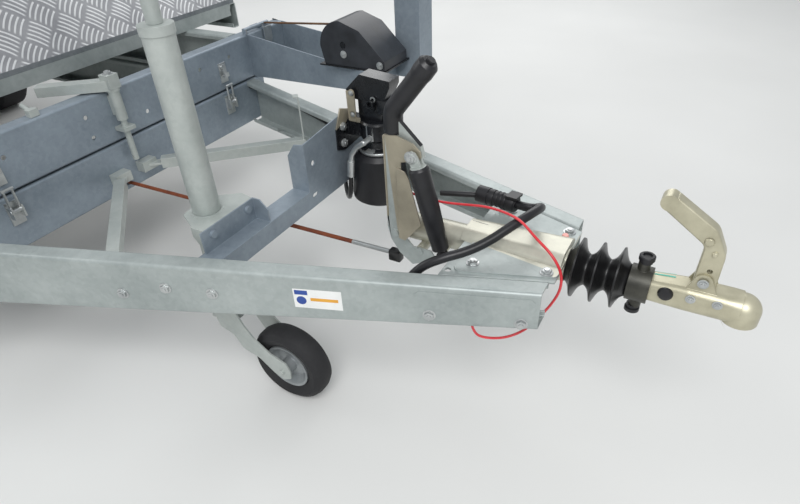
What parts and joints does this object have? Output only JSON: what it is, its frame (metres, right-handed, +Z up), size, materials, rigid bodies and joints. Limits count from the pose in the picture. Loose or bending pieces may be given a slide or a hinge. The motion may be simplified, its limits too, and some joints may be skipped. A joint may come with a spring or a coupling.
{
  "type": "tilting car trailer",
  "caption": "Tandem-axle flatbed car trailer with V drawbar, tilting tread-plate bed, overrun coupling, jockey wheel, hand pump and winch",
  "frame": {"origin": "on the ground, under the middle of the trailer's length and width", "axes": "+X forwards to the coupling, +Y to the trailer's left, +Z up"},
  "size_m": [6.961, 2.04, 1.32],
  "materials": {
    "galvanised": "hot-dip galvanised, dull",
    "zinc_cast": "zinc plated, satin",
    "tread_plate": "five-bar tread plate",
    "black_plastic": "moulded",
    "black_rubber": "moulded",
    "black_paint": "satin black",
    "tyre": "tread",
    "wheel_steel": "silver paint",
    "axle_steel": "galvanised",
    "rusty_steel": "rusty",
    "wire_rope": "rusty wire",
    "red_plastic": "gloss",
    "chrome": "ground chrome"
  },
  "bodies": {
    "chassis": {"axle_front": "axle_steel", "axle_rear": "axle_steel", "bellows": "black_rubber", "brake_rod": "rusty_steel", "breakaway_cable": "red_plastic", "chassis_rail_left": "galvanised", "chassis_rail_right": "galvanised", "coupling_handle": "zinc_cast", "coupling_head": "zinc_cast", "draw_tube": "black_paint", "drawbar_crossmember": "galvanised", "drawbar_left": "galvanised", "drawbar_right": "galvanised", "front_crossbeam": "galvanised", "hand_pump": "black_paint", "handbrake_bracket": "zinc_cast", "handbrake_lever": "black_plastic", "hinge_tube": "galvanised", "jockey_clamp": "galvanised", "jockey_crank": "galvanised", "jockey_outer_tube": "galvanised", "lead": "black_plastic", "lead_plug": "black_plastic", "overrun_housing": "zinc_cast", "pump_hose": "black_plastic", "pump_tank": "black_paint", "ram_crossmember": "galvanised", "strut_left": "galvanised", "strut_right": "galvanised"},
    "bed": {"bed_bearers": "galvanised", "bed_front_beam": "galvanised", "bed_latch": "galvanised", "bed_rail_left": "galvanised", "bed_rail_right": "galvanised", "deck_plate": "tread_plate", "ram_carrier": "galvanised", "side_rail_left": "galvanised", "side_rail_right": "galvanised", "tail_beam": "galvanised", "tail_lamp_left": "red_plastic", "tail_lamp_right": "red_plastic", "winch": "black_paint", "winch_arms": "galvanised", "winch_cover": "black_plastic", "winch_post": "galvanised", "winch_rope": "wire_rope"},
    "ram_barrel": {"ram_barrel": "black_paint"},
    "ram_rod": {"ram_rod": "chrome"},
    "jockey_leg": {"jockey_leg": "galvanised"},
    "jockey_fork": {"jockey_fork": "galvanised"},
    "jockey_wheel": {"jockey_rim": "wheel_steel", "jockey_tyre": "tyre"},
    "wheel_front_left": {"rim_front_left": "wheel_steel", "tyre_front_left": "tyre"},
    "wheel_front_right": {"rim_front_right": "wheel_steel", "tyre_front_right": "tyre"},
    "wheel_rear_left": {"rim_rear_left": "wheel_steel", "tyre_rear_left": "tyre"},
    "wheel_rear_right": {"rim_rear_right": "wheel_steel", "tyre_rear_right": "tyre"}
  },
  "joints": [
    {"name": "bed_tilt", "type": "hinge", "parent": "chassis", "child": "bed", "pos_m": [-1.7255, 0, 0.5], "axis": [0, -1, 0], "range_deg": [0, 12]},
    {"name": "ram_swing", "type": "hinge", "parent": "chassis", "child": "ram_barrel", "pos_m": [-0.1655, 0, 0.42], "axis": [0, -1, 0], "range_deg": [0, 32.3]},
    {"name": "ram_slide", "type": "slide", "parent": "ram_barrel", "child": "ram_rod", "axis": [0.9403, 0, 0.3404], "range_m": [0, 0.20886]},
    {"name": "jockey_slide", "type": "slide", "parent": "chassis", "child": "jockey_leg", "axis": [0, 0, 1], "range_m": [-0.06, 0.115]},
    {"name": "jockey_swivel", "type": "hinge", "parent": "jockey_leg", "child": "jockey_fork", "pos_m": [2.1295, -0.296, 0.272], "axis": [0, 0, 1], "continuous": true},
    {"name": "jockey_spin", "type": "hinge", "parent": "jockey_fork", "child": "jockey_wheel", "pos_m": [2.3295, -0.296, 0.13], "axis": [0, 1, 0], "continuous": true},
    {"name": "wheel_front_left_spin", "type": "hinge", "parent": "chassis", "child": "wheel_front_left", "pos_m": [-1.1155, 0.875, 0.27], "axis": [0, 1, 0], "continuous": true},
    {"name": "wheel_front_right_spin", "type": "hinge", "parent": "chassis", "child": "wheel_front_right", "pos_m": [-1.1155, -0.875, 0.27], "axis": [0, 1, 0], "continuous": true},
    {"name": "wheel_rear_left_spin", "type": "hinge", "parent": "chassis", "child": "wheel_rear_left", "pos_m": [-1.8155, 0.875, 0.27], "axis": [0, 1, 0], "continuous": true},
    {"name": "wheel_rear_right_spin", "type": "hinge", "parent": "chassis", "child": "wheel_rear_right", "pos_m": [-1.8155, -0.875, 0.27], "axis": [0, 1, 0], "continuous": true}
  ],
  "couplings": [
    {"joint": "ram_swing", "follows": "bed_tilt", "ratio": 2.6896},
    {"joint": "ram_slide", "follows": "bed_tilt", "m_per_rad": 0.9963}
  ]
}
